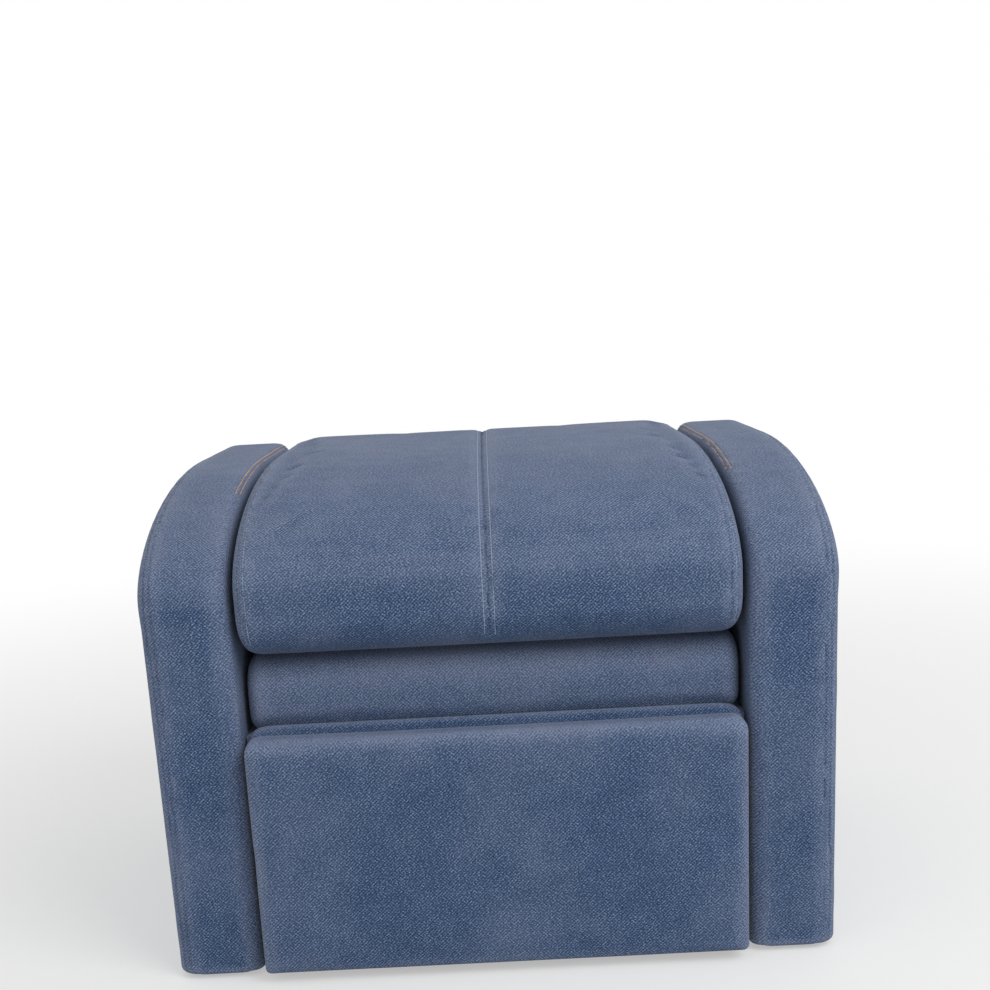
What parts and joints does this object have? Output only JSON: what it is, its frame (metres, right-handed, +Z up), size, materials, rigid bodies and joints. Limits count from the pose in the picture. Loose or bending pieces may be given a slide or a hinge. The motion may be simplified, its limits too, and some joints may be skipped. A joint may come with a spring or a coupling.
{
  "type": "kids recliner chair",
  "caption": "Small upholstered child's recliner with slim roll-over arms, fold-flat backrest and a footrest that rises as the back reclines.",
  "frame": {"origin": "on the floor under the middle of the chair at rest", "axes": "+X to the right seen from the front, +Y to the rear, +Z up; the chair faces -Y"},
  "size_m": [0.5, 0.41, 0.384],
  "materials": {
    "denim": "mid-blue washed denim twill with pale flecks, matte",
    "plywood": "plain birch plywood and softwood, unfinished",
    "zinc_steel": "bright zinc plated steel",
    "black_steel": "black painted stamped steel, satin",
    "black_cambric": "thin black non-woven dust cloth",
    "black_plastic": "black moulded plastic glide"
  },
  "bodies": {
    "base": {"left_arm_pad": "denim", "right_arm_pad": "denim", "left_arm_panel": "plywood", "right_arm_panel": "plywood", "left_seat_rail": "plywood", "right_seat_rail": "plywood", "front_seat_rail": "plywood", "rear_seat_rail": "plywood", "seat_deck": "plywood", "front_stretcher": "plywood", "rear_stretcher": "plywood", "rear_apron_board": "plywood", "rear_apron_cover": "denim", "dust_cover": "black_cambric", "left_front_glide": "black_plastic", "left_rear_glide": "black_plastic", "right_front_glide": "black_plastic", "right_rear_glide": "black_plastic", "left_rail_bolt": "zinc_steel", "right_rail_bolt": "zinc_steel", "left_front_hinge_bolt": "zinc_steel", "left_rear_hinge_bolt": "zinc_steel", "right_front_hinge_bolt": "zinc_steel", "right_rear_hinge_bolt": "zinc_steel", "seat_cushion": "denim", "left_hinge_plate": "black_steel", "right_hinge_plate": "black_steel", "hinge_base_leaf": "zinc_steel", "hinge_pin": "zinc_steel", "front_hinge_board": "plywood"},
    "recline_cranks": {"left_main_pin": "zinc_steel", "right_main_pin": "zinc_steel", "left_recline_crank": "black_steel", "right_recline_crank": "black_steel", "left_crank_pin": "zinc_steel", "right_crank_pin": "zinc_steel", "torque_tube": "black_steel"},
    "backrest": {"backrest_cushion": "denim", "left_back_stile": "plywood", "right_back_stile": "plywood", "back_top_rail": "plywood", "back_bottom_rail": "plywood", "left_back_bracket": "black_steel", "right_back_bracket": "black_steel", "left_ratchet_hub": "black_steel", "right_ratchet_hub": "black_steel", "left_front_bracket_screw": "zinc_steel", "left_rear_bracket_screw": "zinc_steel", "right_front_bracket_screw": "zinc_steel", "right_rear_bracket_screw": "zinc_steel"},
    "footrest": {"footrest_pad": "denim", "footrest_board": "plywood", "left_footrest_bracket": "black_steel", "right_footrest_bracket": "black_steel", "left_footrest_pin": "zinc_steel", "right_footrest_pin": "zinc_steel", "hinge_swing_leaf": "zinc_steel"},
    "left_rod": {"left_drive_rod": "zinc_steel"},
    "right_rod": {"right_drive_rod": "zinc_steel"}
  },
  "joints": [
    {"name": "recline", "type": "hinge", "parent": "base", "child": "recline_cranks", "pos_m": [0, 0.165, 0.242], "axis": [-1, 0, 0], "range_deg": [0, 35]},
    {"name": "back_fold", "type": "hinge", "parent": "recline_cranks", "child": "backrest", "pos_m": [0, 0.165, 0.242], "axis": [-1, 0, 0], "range_deg": [0, 100]},
    {"name": "footrest_swing", "type": "hinge", "parent": "base", "child": "footrest", "pos_m": [0, -0.1714, 0.1925], "axis": [-1, 0, 0], "range_deg": [0, 75]},
    {"name": "left_rod_swing", "type": "hinge", "parent": "recline_cranks", "child": "left_rod", "pos_m": [0, 0.19056, 0.16093], "axis": [-1, 0, 0], "range_deg": [-35, 0]},
    {"name": "right_rod_swing", "type": "hinge", "parent": "recline_cranks", "child": "right_rod", "pos_m": [0, 0.19056, 0.16093], "axis": [-1, 0, 0], "range_deg": [-35, 0]}
  ],
  "couplings": [
    {"joint": "footrest_swing", "follows": "recline", "ratio": 2.1429},
    {"joint": "left_rod_swing", "follows": "recline", "ratio": -1},
    {"joint": "right_rod_swing", "follows": "recline", "ratio": -1}
  ]
}
